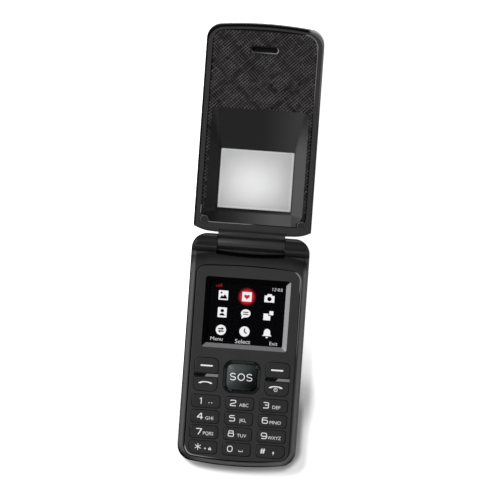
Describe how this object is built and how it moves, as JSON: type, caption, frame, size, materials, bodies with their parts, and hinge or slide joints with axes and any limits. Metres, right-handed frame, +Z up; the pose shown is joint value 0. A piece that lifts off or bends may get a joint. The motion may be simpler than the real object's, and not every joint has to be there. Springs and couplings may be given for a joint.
{
  "type": "flip phone",
  "caption": "Open flip phone with a keypad and display below the hinge and a lid with a see-through window in a funnel-shaped recess.",
  "frame": {"origin": "middle of the lower body's flat back, where the open phone rests", "axes": "+X across the phone to the right of the keypad, +Y from the keypad end towards the hinge and the lid, +Z up out of the keypad"},
  "size_m": [0.0522, 0.1957, 0.032],
  "materials": {
    "shell": "fine satin moulding grain",
    "panel": "smooth satin",
    "key": "satin with white legends",
    "gloss_key": "high gloss",
    "gloss_ring": "high gloss",
    "bar": "dark mirror bright",
    "insert": "crossed diagonal thread texture",
    "funnel": "smooth satin",
    "pane": "clear with a light frost",
    "lens": "polished",
    "screen": "black screen",
    "rubber": "matt",
    "board": "solder mask",
    "steel": "plated",
    "battery": "plain wrapped cell",
    "inner_black": "plain moulding",
    "flex": "amber film"
  },
  "bodies": {
    "base": {"antenna_carrier": "inner_black", "battery_contacts": "inner_black", "battery_pack": "battery", "board_flex": "flex", "camera_module": "inner_black", "camera_window": "lens", "charging_port": "steel", "display_lens": "lens", "dome_sheet": "board", "front_housing": "shell", "front_panel": "panel", "headphone_jack": "inner_black", "hinge_module": "steel", "housing_screws": "steel", "key_bars": "bar", "key_domes": "steel", "keypad_mat": "rubber", "lcd_module": "screen", "loudspeaker": "inner_black", "main_board": "board", "microphone": "inner_black", "rear_housing": "shell", "shield_can": "steel", "sim_holder": "steel", "sos_ring": "gloss_ring", "vibration_motor": "steel"},
    "lid": {"lid_inner_shell": "shell", "lid_outer_shell": "shell", "window_funnel": "funnel", "lid_insert": "insert", "window_pane": "pane", "earpiece_mesh": "steel", "earpiece_receiver": "inner_black", "screw_caps": "rubber", "lid_screws": "steel", "lid_magnet": "steel", "hinge_shaft": "steel", "hinge_pivot": "steel", "lid_flex": "flex"},
    "key_1": {"key_1": "key"},
    "key_2": {"key_2": "key"},
    "key_3": {"key_3": "key"},
    "key_4": {"key_4": "key"},
    "key_5": {"key_5": "key"},
    "key_6": {"key_6": "key"},
    "key_7": {"key_7": "key"},
    "key_8": {"key_8": "key"},
    "key_9": {"key_9": "key"},
    "key_star": {"key_star": "key"},
    "key_0": {"key_0": "key"},
    "key_hash": {"key_hash": "key"},
    "soft_key_left": {"soft_key_left": "key"},
    "soft_key_right": {"soft_key_right": "key"},
    "call_key": {"call_key": "key"},
    "end_key": {"end_key": "key"},
    "sos_key": {"sos_key": "gloss_key"},
    "battery_cover": {"battery_cover": "shell"}
  },
  "joints": [
    {"name": "lid_hinge", "type": "hinge", "parent": "base", "child": "lid", "pos_m": [0, 0.04702, 0.012], "axis": [1, 0, 0], "range_deg": [0, 168]},
    {"name": "key_1_press", "type": "slide", "parent": "base", "child": "key_1", "axis": [0, 0, -1], "range_m": [0, 0.0003], "stiffness_N_per_m": 1500, "springref_m": -0.0003},
    {"name": "key_2_press", "type": "slide", "parent": "base", "child": "key_2", "axis": [0, 0, -1], "range_m": [0, 0.0003], "stiffness_N_per_m": 1500, "springref_m": -0.0003},
    {"name": "key_3_press", "type": "slide", "parent": "base", "child": "key_3", "axis": [0, 0, -1], "range_m": [0, 0.0003], "stiffness_N_per_m": 1500, "springref_m": -0.0003},
    {"name": "key_4_press", "type": "slide", "parent": "base", "child": "key_4", "axis": [0, 0, -1], "range_m": [0, 0.0003], "stiffness_N_per_m": 1500, "springref_m": -0.0003},
    {"name": "key_5_press", "type": "slide", "parent": "base", "child": "key_5", "axis": [0, 0, -1], "range_m": [0, 0.0003], "stiffness_N_per_m": 1500, "springref_m": -0.0003},
    {"name": "key_6_press", "type": "slide", "parent": "base", "child": "key_6", "axis": [0, 0, -1], "range_m": [0, 0.0003], "stiffness_N_per_m": 1500, "springref_m": -0.0003},
    {"name": "key_7_press", "type": "slide", "parent": "base", "child": "key_7", "axis": [0, 0, -1], "range_m": [0, 0.0003], "stiffness_N_per_m": 1500, "springref_m": -0.0003},
    {"name": "key_8_press", "type": "slide", "parent": "base", "child": "key_8", "axis": [0, 0, -1], "range_m": [0, 0.0003], "stiffness_N_per_m": 1500, "springref_m": -0.0003},
    {"name": "key_9_press", "type": "slide", "parent": "base", "child": "key_9", "axis": [0, 0, -1], "range_m": [0, 0.0003], "stiffness_N_per_m": 1500, "springref_m": -0.0003},
    {"name": "key_star_press", "type": "slide", "parent": "base", "child": "key_star", "axis": [0, 0, -1], "range_m": [0, 0.0003], "stiffness_N_per_m": 1500, "springref_m": -0.0003},
    {"name": "key_0_press", "type": "slide", "parent": "base", "child": "key_0", "axis": [0, 0, -1], "range_m": [0, 0.0003], "stiffness_N_per_m": 1500, "springref_m": -0.0003},
    {"name": "key_hash_press", "type": "slide", "parent": "base", "child": "key_hash", "axis": [0, 0, -1], "range_m": [0, 0.0003], "stiffness_N_per_m": 1500, "springref_m": -0.0003},
    {"name": "soft_key_left_press", "type": "slide", "parent": "base", "child": "soft_key_left", "axis": [0, 0, -1], "range_m": [0, 0.0003], "stiffness_N_per_m": 1500, "springref_m": -0.0003},
    {"name": "soft_key_right_press", "type": "slide", "parent": "base", "child": "soft_key_right", "axis": [0, 0, -1], "range_m": [0, 0.0003], "stiffness_N_per_m": 1500, "springref_m": -0.0003},
    {"name": "call_key_press", "type": "slide", "parent": "base", "child": "call_key", "axis": [0, 0, -1], "range_m": [0, 0.0003], "stiffness_N_per_m": 1500, "springref_m": -0.0003},
    {"name": "end_key_press", "type": "slide", "parent": "base", "child": "end_key", "axis": [0, 0, -1], "range_m": [0, 0.0003], "stiffness_N_per_m": 1500, "springref_m": -0.0003},
    {"name": "sos_key_press", "type": "slide", "parent": "base", "child": "sos_key", "axis": [0, 0, -1], "range_m": [0, 0.0003], "stiffness_N_per_m": 1500, "springref_m": -0.0003},
    {"name": "battery_cover_slide", "type": "slide", "parent": "base", "child": "battery_cover", "axis": [0, -1, 0], "range_m": [0, 0.004]}
  ]
}
